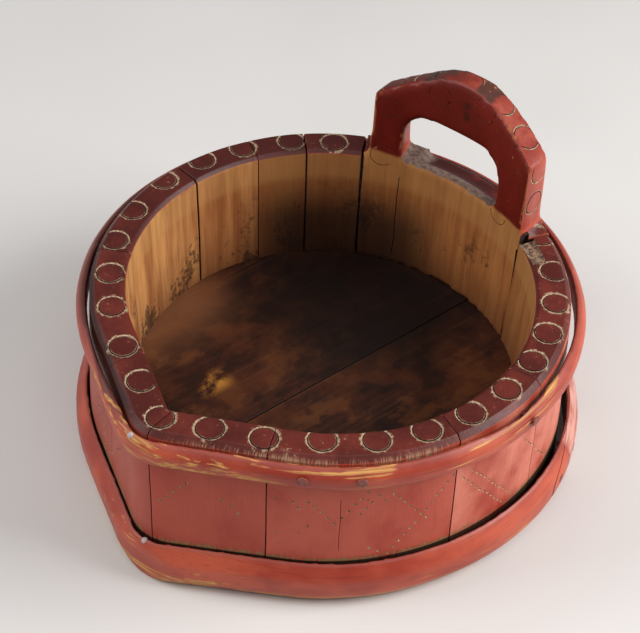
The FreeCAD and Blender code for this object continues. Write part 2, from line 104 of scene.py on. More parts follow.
class Finish:
    """One material while its nodes are being laid."""

    def __init__(self, name, turn=0.0, roughness=0.5):
        self.material = bpy.data.materials.new(name)
        self.material.use_nodes = True
        self.tree = self.material.node_tree
        self.surface = self.tree.nodes["Principled BSDF"]
        self.surface.inputs["Roughness"].default_value = roughness
        held = self.add("ShaderNodeTexCoord", {}, {}).outputs["Object"]
        facing = self.add("ShaderNodeNewGeometry", {}, {}).outputs["Normal"]
        self.place, facing = (
            self.add("ShaderNodeMapping", {}, {"Vector": v, "Rotation": (0, 0, -turn)}).outputs[0]
            for v in (held, facing)
        )
        self.x, self.y, self.z = self.split(self.place)
        side_x, side_y, self.up = self.split(facing)
        self.radius = (self.x * self.x + self.y * self.y) ** 0.5
        self.outward = (self.x * side_x + self.y * side_y) / self.radius

    def add(self, kind, settings, inputs):
        made = self.tree.nodes.new(kind)
        for key, value in settings.items():
            setattr(made, key, value)
        for key, value in inputs.items():
            value = getattr(value, "socket", value)
            if isinstance(value, bpy.types.NodeSocket):
                self.tree.links.new(value, made.inputs[key])
            else:
                made.inputs[key].default_value = value
        return made

    def split(self, vector):
        parts = self.add("ShaderNodeSeparateXYZ", {}, {"Vector": vector}).outputs
        return [Term(self, part) for part in parts]

    def toward(self, way):
        """1 on the side of the bowl that lies way degrees round, falling to -1 on the far side."""
        turn = math.radians(way)
        return (self.x * math.cos(turn) + self.y * math.sin(turn)) / self.radius

    def about(self, way, reach, soft):
        """1 within reach degrees of way, fading over soft degrees."""
        return self.toward(way).rising(
            math.cos(math.radians(reach + soft)), math.cos(math.radians(reach))
        )

    def round_place(self, radius):
        """Place unrolled along a bent piece: way round, way out and height, in metres."""
        around = self.y.joined("ARCTAN2", self.x) * radius
        made = self.add("ShaderNodeCombineXYZ", {}, {0: around, 1: self.radius, 2: self.z})
        return made.outputs[0]

    def grained(self, scales, detail=4.0, rough=0.55, warp=0.0, place=None, seed=0.0):
        """Noise between 0 and 1, stretched by the three scales, which are lumps per metre."""
        moved = self.add(
            "ShaderNodeMapping",
            {},
            {
                "Vector": place or self.place,
                "Location": (seed, seed * 1.7, seed * 0.3),
                "Scale": scales,
            },
        ).outputs[0]
        made = self.add(
            "ShaderNodeTexNoise",
            {},
            {"Vector": moved, "Scale": 1.0, "Detail": detail, "Roughness": rough, "Distortion": warp},
        )
        return Term(self, made.outputs[0])

    def blend(self, amount, first, second):
        made = self.add(
            "ShaderNodeMix", {"data_type": "RGBA"}, {0: amount, 6: first, 7: second}
        )
        return made.outputs[2]

    def done(self, colour, height=None, roughness=None):
        self.tree.links.new(colour, self.surface.inputs["Base Color"])
        if roughness is not None:
            self.tree.links.new(roughness.socket, self.surface.inputs["Roughness"])
        if height is not None:
            bump = self.add("ShaderNodeBump", {}, {"Strength": 1.0, "Distance": 1.0, "Height": height})
            self.tree.links.new(bump.outputs[0], self.surface.inputs["Normal"])
        return self.material


def tone(code):
    """A colour written as on a paint chart, turned into light values."""
    parts = [int(code[i : i + 2], 16) / 255 for i in (1, 3, 5)]
    return (*[(c / 12.92 if c < 0.04045 else ((c + 0.055) / 1.055) ** 2.4) for c in parts], 1)


def picked(piece):
    bpy.ops.object.select_all(action="DESELECT")
    piece.select_set(True)
    bpy.context.view_layer.objects.active = piece


def settled(spot):
    """Where a point of the old, slightly lopsided bowl has moved to from its first round shape."""
    x, y, z = spot
    out = math.hypot(x, y)
    way = math.degrees(math.atan2(y, x)) % 360
    low = max(0.0, 1 - z / RIM_LEVEL)
    thick = min(1.0, max(0.0, (out - 0.123) / 0.022))
    drawn_in = 0.0042 * low * thick * math.exp(-((((way - 338 + 180) % 360 - 180) / 34) ** 2))
    slid = 0.0062 * low * thick * math.exp(-(((way - 266) / 26) ** 2))
    c, s = (x / out, y / out) if out > 1e-6 else (1, 0)
    return Vector((x - c * drawn_in - s * slid, y - s * drawn_in + c * slid, min(max(z, 0.0), 0.1944)))


def carved(spot, coarse, depth):
    """A small hand-tool wander of the surface, the same for neighbouring pieces."""
    return noise.noise_vector(spot * coarse) * depth


def worked_copy(node, name, flat=0.6):
    """A copy of one measured piece with its points merged and its flat faces made whole."""
    piece = bpy.data.objects.new(name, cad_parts[node].data.copy())
    bpy.context.scene.collection.objects.link(piece)
    picked(piece)
    bpy.ops.object.mode_set(mode="EDIT")
    bpy.ops.mesh.select_all(action="SELECT")
    bpy.ops.mesh.remove_doubles(threshold=0.00002)
    bpy.ops.mesh.dissolve_limited(angle_limit=math.radians(flat))
    bpy.ops.object.mode_set(mode="OBJECT")
    piece.data.materials.clear()
    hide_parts(node)
    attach(piece, "root")
    return piece


def levels_cut(piece, levels):
    """Cross lines at these heights, so that long faces can take a gentle wander."""
    picked(piece)
    bpy.ops.object.mode_set(mode="EDIT")
    for level in levels:
        bpy.ops.mesh.select_all(action="SELECT")
        bpy.ops.mesh.bisect(plane_co=(0, 0, level), plane_no=(0, 0, 1))
    bpy.ops.object.mode_set(mode="OBJECT")


def edges_eased(piece, width, steps=2, limit=28):
    """The arrises that a spokeshave and long handling have taken off."""
    picked(piece)
    ease = piece.modifiers.new("eased", "BEVEL")
    ease.width, ease.segments = width, steps
    ease.limit_method, ease.angle_limit = "ANGLE", math.radians(limit)
    bpy.ops.object.modifier_apply(modifier=ease.name)


def smoothed(piece, angle=38):
    """Soft shading over the eased arrises, with the broad faces kept true."""
    picked(piece)
    bpy.ops.object.shade_smooth_by_angle(angle=math.radians(angle))
    true = piece.modifiers.new("true_faces", "WEIGHTED_NORMAL")
    true.keep_sharp, true.weight = True, 80
    bpy.ops.object.modifier_apply(modifier=true.name)


def stained_boards(name, seed):
    finish = Finish(name, turn=SEAM_HEADING, roughness=0.5)
    streak = finish.grained((7, 420, 60), detail=5, seed=seed)
    lump = finish.grained((12, 20, 20), detail=3, warp=0.6, seed=seed + 3)
    cloud = finish.grained((38, 46, 20), detail=5, rough=0.6, seed=seed + 7)
    tint = finish.blend(lump.rising(0.32, 0.66), tone("#26100A"), tone("#4A2412"))
    tint = finish.blend(cloud.rising(0.52, 0.66) * 0.6, tint, tone("#5E3418"))
    tint = finish.blend(streak.rising(0.5, 0.72) * 0.3, tint, tone("#5B3A22"))
    tint = finish.blend(cloud.rising(0.5, 0.36) * 0.7, tint, tone("#180B06"))
    # Painted sheen: the left back of the floor is lightened to a red-brown.
    painted_sheen_side = (finish.y + cloud * 0.02).rising(0.07, 0.12) * finish.x.rising(0.015, -0.03)
    tint = finish.blend(painted_sheen_side * 0.75, tint, tone("#7E5032"))
    worn = (finish.x + 0.061).size().rising(0.016, 0.004)
    worn = worn * (finish.y - 0.040).size().rising(0.012, 0.003) * cloud.rising(0.42, 0.55)
    tint = finish.blend(worn, tint, tone("#A5702E"))
    shadowed = ((finish.x - 0.062) ** 2.0 + (finish.y - 0.042) ** 2.0) ** 0.5
    tint = finish.blend((shadowed + cloud * 0.02).rising(0.112, 0.045) * 0.88, tint, tone("#100603"))
    tint = finish.blend(finish.up.rising(0.97, 0.8), tint, tone("#0C0503"))
    finish.surface.inputs["Specular IOR Level"].default_value = 0.2
    height = streak * 0.00025 + cloud * 0.0005
    return finish.done(tint, height, 0.75 - lump * 0.2)


for node, name, seed in (
    ("floor_board_left", "left_floor_board", 2.0),
    ("floor_board_right", "right_floor_board", 9.0),
):
    board = worked_copy(node, name)
    edges_eased(board, 0.0006)
    smoothed(board)
    board.data.materials.append(stained_boards(name + "_stain", seed))

pegs = worked_copy("floor_pegs", "hidden_pegs")
birch = Finish("birch_peg", roughness=0.7)
birch_grain = birch.grained((900, 900, 60))
pegs.data.materials.append(
    birch.done(birch.blend(birch_grain, tone("#8F6A3E"), tone("#C79B63")), birch_grain * 0.0002)
)

# Eleven pine staves make the wall, one of them standing up as the pierced handle.
# Each was split, hollowed and rounded by hand, painted red outside and on the rim,
# and left bare inside where the milk has browned it.
# Each row: stave, noise seed, painted light and painted shade on its outside, and its bare inside tone,
# lighter on the lit left-hand staves as painted light.
STAVES = [
    ("stave_01", 3.0, 0.1, 0.4, "#A87040"),
    ("stave_02", 11.0, 0.1, 0.4, "#A06838"),
    ("stave_03", 17.0, 0.1, 0.4, "#C88850"),
    ("stave_04", 23.0, 0.1, 0.4, "#D89A5C"),
    ("stave_05", 29.0, 0.1, 0.4, "#D89A5C"),
    ("stave_06", 37.0, 0.1, 0.35, "#B07A40"),
    ("stave_07", 41.0, 0.1, 0.1, "#A56C34"),
    ("stave_08", 47.0, 0.2, 0.0, "#A56C34"),
    ("stave_09", 53.0, 0.9, 0.0, "#A56C34"),
    ("stave_10", 59.0, 0.9, 0.0, "#A87440"),
    ("handle_stave", 67.0, 0.2, 0.0, "#B87A42"),
]
WALL_LEVELS = [0.012, 0.024, 0.044, 0.056, 0.068, 0.080, 0.092, 0.104]
HANDLE_HALF = 0.0615


def round_spot(way, out, level):
    turn = math.radians(way)
    return Vector((out * math.cos(turn), out * math.sin(turn), level))


def wall_paint(name, seed, painted_light, painted_shade, bare_tone_and_light, rings, handle):
    """Red paint over bare pine; the stave's outside takes its share of painted light and painted shade, and
    its bare inside tone holds painted light on the lit staves.
    """
    finish = Finish(name, roughness=0.45)
    finish.surface.inputs["Specular IOR Level"].default_value = 0.32
    z, out = finish.z, finish.radius
    fibre = finish.grained((640, 640, 12), detail=4, rough=0.6, seed=seed)
    streak = finish.grained((120, 120, 9), detail=4, warp=0.4, seed=seed + 2)
    cloud = finish.grained((30, 30, 22), detail=4, rough=0.55, seed=seed + 5)
    speck = finish.grained((330, 330, 260), detail=4, rough=0.65, seed=seed + 8)
    outside = finish.outward.rising(-0.3, 0.1)
    top = finish.up.rising(0.35, 0.75)
    if not handle:
        top = top.most(z.rising(RIM_LEVEL - 0.0014, RIM_LEVEL - 0.0009))
    cut_side = (1.0 - finish.outward.size() - finish.up.size()).rising(0.25, 0.7)
    cut_side = cut_side * z.rising(RIM_LEVEL - 0.0005, RIM_LEVEL - 0.0025)

    red = finish.blend(cloud.rising(0.3, 0.7), tone("#A23420"), tone("#B2432D"))
    # Painted light: the right-hand staves are lightened toward salmon where the lamp from the right falls, and
    # painted shade dulls the left-hand staves toward mauve-brown.
    red = finish.blend(cloud.rising(0.25, 0.6) * painted_light, red, tone("#D27A64"))
    red = finish.blend(painted_shade, red, tone("#8C4A40"))
    red = finish.blend(fibre.rising(0.58, 0.7) * 0.18, red, tone("#6E2A20"))
    cap = finish.blend(cloud.rising(0.35, 0.65), tone("#4A1711"), tone("#66261D"))
    cap = finish.blend(speck.rising(0.6, 0.72) * 0.35, cap, tone("#9A5A4C"))
    cap = finish.blend(speck.rising(0.42, 0.34) * 0.4, cap, tone("#3E1512"))
    # Painted shade: the rim top is darkened round the back left.
    cap = finish.blend(finish.about(150, 40, 25) * 0.55, cap, tone("#3A100C"))
    paint = finish.blend(top, red, cap)
    if handle:
        inner_red = finish.blend(cloud.rising(0.3, 0.7), tone("#641710"), tone("#781F16"))
        paint = finish.blend(outside, inner_red, paint)
        above = z.rising(RIM_LEVEL + 0.004, RIM_LEVEL + 0.006)
        # Painted light: the handle's edge facets above the rim are lightened, most on the right-hand side
        # facing the lamp.
        painted_lit_edge_red = finish.blend(streak.rising(0.3, 0.7), tone("#8A3022"), tone("#A44A3A"))
        edge = finish.up.size().most(1.0 - finish.outward.size()).rising(0.3, 0.6) * above
        paint = finish.blend(edge * (finish.x.rising(-0.03, 0.02) * 0.75 + 0.15), paint, painted_lit_edge_red)
        greyed = finish.x.near(-0.020, 0.010, 0.005).most(finish.x.near(0.012, 0.005, 0.004))
        greyed = greyed * finish.up.rising(0.5, 0.8) * z.rising(0.17, 0.18)
        greyed = greyed * (cloud + speck * 0.4).rising(0.56, 0.7)
        paint = finish.blend(greyed * 0.85, paint, tone("#3E2C26"))

    if handle:
        sill = finish.up.rising(0.3, 0.6) * z.rising(0.121, 0.1195) * finish.x.near(-0.003, 0.044, 0.003)
        flat_part = finish.radius.rising(0.1335, 0.1315).most(finish.x.rising(-0.024, -0.030))
        greyed = finish.blend(speck.rising(0.3, 0.7), tone("#54403A"), tone("#806A5E"))
        hollow = finish.blend(cloud.rising(0.4, 0.65), tone("#3C120F"), tone("#742420"))
        paint = finish.blend(sill, paint, finish.blend(flat_part, hollow, greyed))
    # The bare inside tone: the stave's own wood colour, lighter on the left-hand staves as painted light where
    # the lamp from the right falls.
    bare = finish.blend(streak.rising(0.25, 0.75), tone("#96582C"), tone(bare_tone_and_light))
    bare = finish.blend(fibre.rising(0.5, 0.68) * 0.3, bare, tone("#6E421C"))
    bare = finish.blend(z.rising(0.092, 0.1) * 0.3, bare, tone("#C9975A"))
    foot = (z + cloud * 0.05).rising(0.105, 0.05)
    bare = finish.blend(foot * 0.65, bare, tone("#5A3013"))
    # Painted shade: the inner wall low at the back is darkened, where neither side lamp reaches.
    painted_back_shade = finish.about(125, 14, 24) * z.rising(0.105, 0.06)
    bare = finish.blend(painted_back_shade * 0.85, bare, tone("#1A0A05"))
    stain = (speck * 0.35 + cloud * 0.75).rising(0.6, 0.68) * z.rising(0.1, 0.06)
    bare = finish.blend(stain * 0.8, bare, tone("#2C150B"))
    if handle:
        bounds = z + finish.x * finish.x * -1.5 + cloud * 0.004
        painted_above = bounds.rising(0.1185, 0.1215)
    else:
        painted_above = (z + cloud * 0.004).rising(0.1165, 0.1185)
    painted = outside.most(top).most(painted_above)

    arris = z.rising(0.1115, 0.1155) * out.rising(0.1395, 0.1450) * (1.0 - z.rising(0.119, 0.12))
    front = finish.about(308, 22, 14)
    rolled = finish.round_place(0.147)
    hatch = finish.grained((1300, 90, 90), detail=2, place=rolled, seed=seed + 12)
    band = z.rising(0.117, 0.1145) * out.rising(0.1435, 0.1455) * z.rising(0.1115, 0.1125)
    worn = band * front * (hatch * 0.5 + cloud * 0.6 + speck * 0.2).rising(0.60, 0.72) * 0.85
    worn = worn.most(arris * (cloud * 0.7 + speck * 0.4).rising(0.64, 0.72) * 0.8)
    chips = (speck * 0.7 + cloud * 0.4).rising(0.69, 0.72)
    worn = worn.most(chips * 0.8)
    low = (z + speck * 0.008).rising(0.0392, 0.0372) * (hatch + cloud).rising(0.85, 1.0)
    worn = worn.most(low * 0.85)
    pale = finish.blend(hatch.rising(0.4, 0.6), tone("#744638"), tone("#A98468"))
    pale = finish.blend(low, pale, tone("#8A7048"))
    if handle:
        pale = finish.blend(z.rising(0.12, 0.125), pale, tone("#B06E3A"))
        left_edge = finish.x.near(-HANDLE_HALF, 0.0012, 0.0018) * z.rising(0.122, 0.13)
        left_edge = left_edge * (1.0 - outside) * (speck + streak).rising(0.85, 1.05)
        worn = worn.most(left_edge)
        rubbed = finish.outward.near(-0.6, 0.2, 0.15) * z.rising(0.124, 0.13)
        rubbed = rubbed * finish.x.size().rising(0.03, 0.036) * (speck * 0.7 + streak * 0.5).rising(0.56, 0.68)
        worn = worn.most(rubbed * 0.8)
        gash = finish.x.near(0.002, 0.0012, 0.0022) * z.near(0.1755, 0.0045, 0.004) * (1.0 - outside)
        paint = finish.blend(gash * speck.rising(0.36, 0.5) * 0.85, paint, tone("#2E1A14"))
    paint = finish.blend(worn, paint, pale)
    shaded = finish.about(236, 24, 8) * z.rising(0.105, 0.109) * z.rising(0.1172, 0.1155) * outside
    paint = finish.blend(shaded * 0.85, paint, tone("#1C0C0A"))
    # Painted shade: the outside of the wall below the lower hoop's top edge, in the gap behind the hoop, is
    # made nearly black.
    paint = finish.blend(z.rising(0.0322, 0.0314) * outside * 0.9, paint, tone("#120806"))
    colour = finish.blend(painted, bare, paint)
    torn_all = None
    for spot in rings:
        gap = ((finish.x - spot[0]) ** 2.0 + (finish.y - spot[1]) ** 2.0) ** 0.5
        torn = gap.near(0.0088, 0.0007, 0.0009)
        torn_all = torn if torn_all is None else torn_all.most(torn)
    if torn_all is not None:
        torn = torn_all * top * (speck + cloud * 0.5).rising(0.74, 0.86)
        colour = finish.blend(torn * 0.8, colour, tone("#B59A7A"))
    colour = finish.blend(cut_side, colour, tone("#1C0E08"))
    height = fibre * 0.00012 + cloud * 0.0002 + speck * 0.00012 - worn * 0.0002
    rough = 0.34 + speck * 0.2 + worn * 0.25 + (1.0 - painted) * 0.3
    return finish.done(colour, height, rough)


def cutter_wood(name, dark, light, scale=900):
    finish = Finish(name, roughness=0.75)
    grain = finish.grained((scale, scale, scale), detail=3)
    return finish.done(finish.blend(grain.rising(0.35, 0.65), tone(dark), tone(light)), grain * 0.0002)


ring_bare = cutter_wood("ring_bare_wood", "#7A5C44", "#C0A888")
# Old dirt with painted shade: the narrow ring grooves, the cracks and the dark hole are coloured near black.
groove_dirt_and_shade = cutter_wood("groove_dirt_and_painted_shade", "#1E0F0A", "#3C2018")
ring_faint = cutter_wood("ring_faint_line", "#4A1510", "#5E1D14")
punch_bare = cutter_wood("punched_bare_wood", "#7A5A40", "#CDB490")
torn_wood = cutter_wood("torn_grey_wood", "#4A3428", "#8E7258", 500)


def joined(name, parts, material):
    bpy.ops.object.select_all(action="DESELECT")
    for part in parts:
        part.select_set(True)
    bpy.context.view_layer.objects.active = parts[0]
    if len(parts) > 1:
        bpy.ops.object.join()
    whole = bpy.context.object
    whole.name = name
    bpy.ops.object.transform_apply(location=True, rotation=True, scale=True)
    whole.data.materials.append(material)
    return whole


def ring_cutters(name, places, reach, wide, deep, material):
    """A fine torus laid on the wood for each stamped ring, sunk by its depth."""
    made = []
    for i, (spot, facing) in enumerate(places):
        bpy.ops.mesh.primitive_torus_add(
            major_radius=reach + 0.0002 * math.sin(i * 2.3),
            minor_radius=wide,
            major_segments=32,
            minor_segments=6,
            location=spot + facing * (wide - deep),
            rotation=facing.to_track_quat("Z", "Y").to_euler(),
        )
        made.append(bpy.context.object)
    return joined(name, made, material)


def cut_with(piece, cutter):
    """Cuts the piece, and keeps it as it was if the cut would eat the whole piece."""
    picked(piece)
    whole = piece.data.copy()
    cut = piece.modifiers.new("cut", "BOOLEAN")
    cut.operation, cut.object, cut.solver = "DIFFERENCE", cutter, "EXACT"
    cut.material_mode = "TRANSFER"
    cut.use_hole_tolerant = True
    bpy.ops.object.modifier_apply(modifier=cut.name)
    if len(piece.data.vertices) < len(whole.vertices) / 2:
        piece.data = whole


def close_meshed(piece, size):
    """The same body in small even faces, so that it can be rubbed round."""
    picked(piece)
    even = piece.modifiers.new("close_mesh", "REMESH")
    even.mode, even.voxel_size = "VOXEL", size
    bpy.ops.object.modifier_apply(modifier=even.name)


def worn_round(stave):
    """The handle's arrises rubbed round by hands, more above the rim than at it."""
    close_meshed(stave, 0.0023)
    bpy.ops.object.mode_set(mode="EDIT")
    bpy.ops.mesh.select_mode(type="VERT")
    for level, times in ((RIM_LEVEL - 0.006, 1), (RIM_LEVEL + 0.004, 4)):
        bpy.ops.mesh.select_all(action="DESELECT")
        bpy.ops.object.mode_set(mode="OBJECT")
        for point in stave.data.vertices:
            point.select = point.co.z > level
        bpy.ops.object.mode_set(mode="EDIT")
        bpy.ops.mesh.vertices_smooth(factor=0.5, repeat=times)
    bpy.ops.object.mode_set(mode="OBJECT")


wall = {}
for node, *_ in STAVES:
    handle = node == "handle_stave"
    stave = worked_copy(node, node + "_board")
    if handle:
        worn_round(stave)
    else:
        levels_cut(stave, WALL_LEVELS)
        edges_eased(stave, 0.0007)
    for point in stave.data.vertices:
        point.co = settled(point.co + carved(point.co, 28, 0.00035))
    wall[node] = stave

# The rim carries two dozen stamped rings, more ride on the handle's edge and faintly on
# its face, and the wall outside has zigzags of oblique punch marks made with a small gouge.
RIM_RINGS = [
    (129.2, 1.076), (141.3, 1.095), (155.0, 1.105), (167.3, 1.119), (180.3, 1.124), (194.8, 1.111),
    (207.3, 1.103), (220.0, 1.079), (232.5, 1.075), (247.2, 1.096), (259.6, 1.134), (270.8, 1.22),
    (281.5, 1.141), (294.1, 1.096), (307.8, 1.057), (321.0, 1.067), (333.8, 1.069), (346.3, 1.075),
    (358.9, 1.077), (11.2, 1.081), (22.3, 1.086), (33.7, 1.098), (45.7, 1.108), (59.2, 1.122),
]
EDGE_RINGS = [
    (-0.062, 0.1215, 0.131, -1, 0), (-0.062, 0.1215, 0.154, -1, 0),
    (-0.054, 0.1240, 0.1712, -0.51, 0.86), (-0.034, 0.1315, 0.1832, -0.51, 0.86),
    (-0.002, 0.1335, 0.1945, 0, 1), (0.0235, 0.1330, 0.1897, 0.41, 0.91),
    (0.0465, 0.1275, 0.1793, 0.41, 0.91), (0.063, 0.1215, 0.1650, 1, 0), (0.063, 0.1205, 0.1405, 1, 0),
]
FACE_RINGS = [
    (114.5, 0.0015), (113.8, 0.0406), (98.4, 0.061), (82.9, 0.0657), (67.3, 0.0515), (71.7, 0.0012),
]
PUNCHED_LINES = [
    (279.4, 83.5, 274.5, 66.4), (286.7, 74.9, 290.2, 64.6), (296.2, 82.6, 298.2, 82.5),
    (302.2, 81.3, 303.4, 77.3), (305.5, 83.3, 311.4, 65.1), (318.7, 90.5, 313.1, 70.0),
    (319.5, 81.9, 317.0, 72.1), (321.2, 86.2, 322.6, 81.5), (324.6, 86.3, 333.0, 58.7),
    (338.8, 88.2, 324.4, 34.6), (319.8, 42.0, 321.8, 38.2), (344.4, 84.8, 358.2, 39.2),
    (341.9, 80.5, 355.3, 37.3), (359.6, 86.5, 13.2, 38.9),
]
for i in range(9):
    start = 18 + 27 * i
    for row in (0, 2.6):
        PUNCHED_LINES.append((start + row, 84, start + row + 13, 40))
        PUNCHED_LINES.append((start + row + 14, 40, start + row + 26, 82))
PUNCH_STEP = 0.0056


def touched(stave, start, heading):
    """Where a line from start first meets the stave, and which way its wood faces there."""
    hit, spot, facing, _ = stave.ray_cast(start, heading, distance=0.2)
    return (spot, facing) if hit else None


def punches(name, stave, lines):
    """Small pointed lozenges along the marked-out lines, where they fall on this stave."""
    bpy.ops.mesh.primitive_ico_sphere_add(subdivisions=1, radius=1, scale=(0.0016, 0.0009, 0.0009))
    lozenge = bpy.context.object
    bpy.ops.object.transform_apply(location=True, rotation=True, scale=True)
    made = []
    for way, level, end_way, end_level in lines:
        turn = (end_way - way + 180) % 360 - 180
        run = Vector((math.radians(turn) * 0.149, (end_level - level) / 1000))
        count = max(1, round(run.length / PUNCH_STEP))
        for i in range(count + 1):
            here = way + turn * i / count
            height = level / 1000 + run.y * i / count + 0.0005 * math.sin(i * 5.1 + way)
            met = touched(stave, round_spot(here, 0.2, height), round_spot(here + 180, 1, 0))
            if met is None:
                continue
            spot, facing = met
            slope = round_spot(here + 90, run.x, run.y)
            slope = (slope - facing * slope.dot(facing)).normalized()
            if any((spot - other.location).length < 0.0034 for other in made):
                continue
            mark = bpy.data.objects.new(name, lozenge.data.copy())
            bpy.context.scene.collection.objects.link(mark)
            turned = Matrix((slope, facing.cross(slope), facing)).transposed().to_euler()
            mark.location, mark.rotation_euler = spot, turned
            made.append(mark)
    bpy.data.objects.remove(lozenge)
    return [joined(name, made, punch_bare)] if made else []


def crack_cutter(name, way, out, low, high, width, wander):
    """A thin upright wedge, wandering with the grain and running out at both ends."""
    bpy.ops.mesh.primitive_cube_add(size=1, location=round_spot(way, out, (low + high) / 2))
    crack = bpy.context.object
    crack.scale = (0.003, width, high - low)
    crack.rotation_euler = (0, 0, math.radians(way))
    crack = joined(name, [crack], groove_dirt_and_shade)
    levels_cut(crack, [low + (high - low) * (i + 1) / 14 for i in range(13)])
    for point in crack.data.vertices:
        part = (point.co.z - low) / (high - low)
        point.co += noise.noise_vector(Vector((way, 0, point.co.z * 60))) * Vector((wander, wander, 0))
        if part < 0.01 or part > 0.99:
            point.co = point.co.lerp(round_spot(way, out, point.co.z), 0.8)
    return crack


def broken_cutter(name, plan, top, floors, material, rough):
    """A torn-out block: four corners in plan, its lid above the wood and an uneven floor below."""
    bpy.ops.mesh.primitive_cube_add(size=1, location=(0, 0, 0))
    block = joined(name, [bpy.context.object], material)
    for point in block.data.vertices:
        turn = {(-1, -1): 0, (1, -1): 1, (1, 1): 2, (-1, 1): 3}[
            (1 if point.co.x > 0 else -1, 1 if point.co.y > 0 else -1)
        ]
        level = top if point.co.z > 0 else floors[turn]
        point.co = (*plan[turn], level)
    picked(block)
    bpy.ops.object.mode_set(mode="EDIT")
    bpy.ops.mesh.select_all(action="SELECT")
    bpy.ops.mesh.subdivide(number_cuts=5)
    bpy.ops.mesh.quads_convert_to_tris()
    bpy.ops.object.mode_set(mode="OBJECT")
    for point in block.data.vertices:
        point.co += noise.noise_vector(point.co * 400) * rough
    return block


rim_places = [
    (round_spot(way, INNER_RADIUS * reach, RIM_LEVEL), Vector((0, 0, 1))) for way, reach in RIM_RINGS
]
edge_places = [
    (Vector((x, y, z)), Vector((nx, 0, nz)).normalized()) for x, y, z, nx, nz in EDGE_RINGS
]
for node, seed, painted_light, painted_shade, bare_tone_and_light in STAVES:
    stave = wall[node]
    corners = [[v.co[i] for v in stave.data.vertices] for i in (0, 1)]
    near = [
        place
        for place in rim_places
        if all(min(c) - 0.009 < place[0][i] < max(c) + 0.009 for i, c in enumerate(corners))
    ]
    cutters = []
    if node == "stave_10":
        plan = [(0.061, 0.105), (0.083, 0.095), (0.090, 0.1015), (0.0645, 0.1195)]
        floors = (0.1150, 0.1172, 0.1176, 0.1145)
        cutters.append(broken_cutter("torn_corner", plan, 0.125, floors, torn_wood, 0.0007))
    if node in ("stave_10", "handle_stave"):
        plan = [(0.0630, 0.1090), (0.0655, 0.1080), (0.0680, 0.1130), (0.0643, 0.1160)]
        floors = (0.102, 0.108, 0.108, 0.104)
        cutters.append(broken_cutter("dark_hole", plan, 0.126, floors, groove_dirt_and_shade, 0.0002))
    cutters += punches("punch_marks", stave, PUNCHED_LINES)
    if node == "handle_stave":
        face_places = [
            touched(stave, Vector((0, 0, RIM_LEVEL + rise)), round_spot(way, 1, 0))
            for way, rise in FACE_RINGS
        ]
        cutters += [
            crack_cutter("handle_crack", 108.6, 0.1235, 0.034, 0.117, 0.0006, 0.0009),
            ring_cutters("shallow_edge_rings", edge_places, 0.0082, 0.0009, 0.0004, ring_bare),
            ring_cutters("narrow_edge_rings", edge_places, 0.0078, 0.0004, 0.0006, groove_dirt_and_shade),
            ring_cutters("faint_face_rings", face_places, 0.0080, 0.0003, 0.0004, ring_faint),
        ]
    if node == "stave_08":
        cutters.append(crack_cutter("front_crack", 312.7, 0.1490, 0.04, 0.088, 0.00035, 0.0004))
    cutters.append(ring_cutters("shallow_rings", near, 0.0085, 0.0011, 0.0006, ring_bare))
    cutters.append(ring_cutters("narrow_rings", near, 0.0080, 0.00045, 0.0009, groove_dirt_and_shade))
    rings = [spot for spot, _ in near]
    stave.data.materials.append(
        wall_paint(node + "_paint", seed, painted_light, painted_shade, bare_tone_and_light, rings, node == "handle_stave")
    )
    for cutter in cutters:
        cut_with(stave, cutter)
        bpy.data.objects.remove(cutter)
    smoothed(stave)

# Two split rods of young wood are bent round the wall, their lapped ends shaved thin.
# They carry a brighter coat of red, rubbed through to the wood along the arrises.


def hoop_paint(name, turn, seed, radius, foot, height, rubs, pale_end):
    finish = Finish(name, turn=math.radians(turn), roughness=0.4)
    along = finish.round_place(radius)
    fibre = finish.grained((14, 620, 700), detail=4, rough=0.6, place=along, seed=seed)
    streak = finish.grained((16, 260, 330), detail=4, warp=0.4, place=along, seed=seed + 3)
    cloud = finish.grained((24, 30, 40), detail=3, place=along, seed=seed + 6)
    rise = (finish.z - foot) / height
    red = finish.blend(cloud.rising(0.3, 0.7), tone("#962E1B"), tone("#BE5236"))
    red = finish.blend(fibre.rising(0.54, 0.7) * 0.4, red, tone("#6A2015"))
    red = finish.blend(finish.up.rising(0.5, 0.9) * 0.5, red, tone("#7E423C"))
    # Painted shade: the hoop's faces turned in toward the wall are darkened for the gap between hoop and wall.
    painted_gap_shade = finish.outward.rising(-0.2, -0.6)
    red = finish.blend(painted_gap_shade * 0.85, red, tone("#241010"))
    if not pale_end:
        # Painted shade: the upper hoop's upward faces at the left are darkened.
        painted_top_shade = finish.about(222 - turn, 32, 14) * finish.up.rising(0.35, 0.8)
        red = finish.blend(painted_top_shade * 0.75, red, tone("#3C1C1A"))
    ochre = finish.blend(fibre.rising(0.4, 0.6), tone("#D59A55"), tone("#A8683A"))
    where = None
    for way, reach, soft, level, spread, strength in rubs:
        patch = finish.about(way - turn, reach, soft) * rise.near(level, spread, spread) * strength
        where = patch if where is None else where.most(patch)
    rubbed = (streak * 0.8 + cloud * 0.25 + where).rising(0.71, 0.76)
    if pale_end:
        bleached = finish.about(42 - turn, 19, 2) * finish.up.rising(0.95, 0.8)
        bleached = bleached * (cloud * 0.6 + fibre * 0.5).rising(0.42, 0.58)
        red = finish.blend(bleached * 0.9, red, tone("#D29C8E"))
    red = finish.blend(rubbed, red, ochre)
    height = fibre * 0.00015 + streak * 0.0003 + cloud * 0.0005
    return finish.done(red, height, 0.34 + cloud * 0.15 + rubbed * 0.25)


